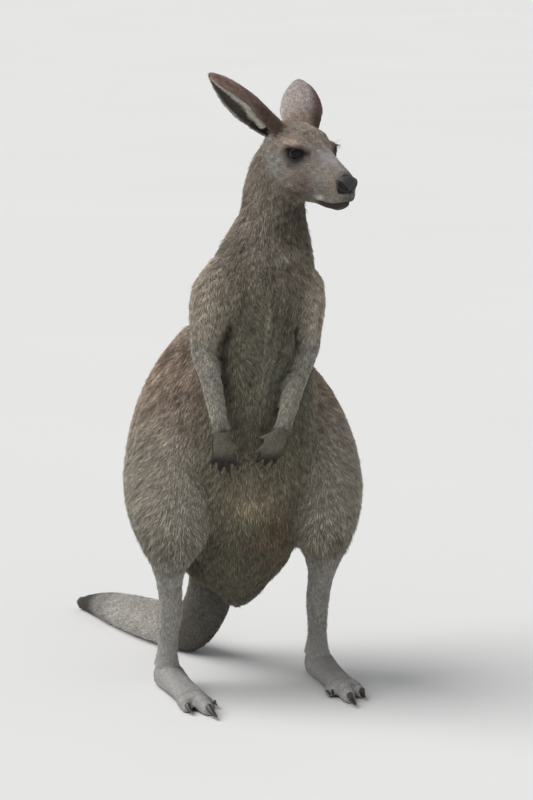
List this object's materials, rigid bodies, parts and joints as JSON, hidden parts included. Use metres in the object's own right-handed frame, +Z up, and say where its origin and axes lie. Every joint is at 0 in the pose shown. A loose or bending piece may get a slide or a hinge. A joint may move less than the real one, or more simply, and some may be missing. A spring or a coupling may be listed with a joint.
{
  "type": "grey kangaroo",
  "caption": "Life-size model of an adult female grey kangaroo standing upright on her hind feet and tail, hands hanging before her pouch, looking to her left.",
  "frame": {"origin": "on the ground, below the middle of the whole animal's box", "axes": "she faces -Y, her left side is +X, +Z is up"},
  "size_m": [0.4158, 0.9164, 1.0592],
  "materials": {
    "coat": "short dense grey-brown fur",
    "nose_leather": "bare dark leathery skin",
    "claw_horn": "dark satin horn",
    "eye_surface": "wet gloss, very dark brown"
  },
  "bodies": {
    "root": {"belly": "coat", "chest": "coat", "claw_hind_fifth_left": "claw_horn", "claw_hind_fifth_right": "claw_horn", "claw_hind_fourth_left": "claw_horn", "claw_hind_fourth_right": "claw_horn", "claw_hind_grooming_1_left": "claw_horn", "claw_hind_grooming_1_right": "claw_horn", "claw_hind_grooming_2_left": "claw_horn", "claw_hind_grooming_2_right": "claw_horn", "claw_index_left": "claw_horn", "claw_index_right": "claw_horn", "claw_little_left": "claw_horn", "claw_little_right": "claw_horn", "claw_middle_left": "claw_horn", "claw_middle_right": "claw_horn", "claw_ring_left": "claw_horn", "claw_ring_right": "claw_horn", "claw_thumb_left": "claw_horn", "claw_thumb_right": "claw_horn", "ear_left": "coat", "ear_right": "coat", "eye_left": "eye_surface", "eye_right": "eye_surface", "foot_left": "coat", "foot_right": "coat", "forearm_left": "coat", "forearm_right": "coat", "hand_left": "coat", "hand_right": "coat", "head": "coat", "hips": "coat", "neck": "coat", "nose": "nose_leather", "shin_left": "coat", "shin_right": "coat", "tail_end": "coat", "tail_mid": "coat", "tail_root": "coat", "tail_tip": "coat", "thigh_left": "coat", "thigh_right": "coat", "upper_arm_left": "coat", "upper_arm_right": "coat"}
  },
  "joints": []
}
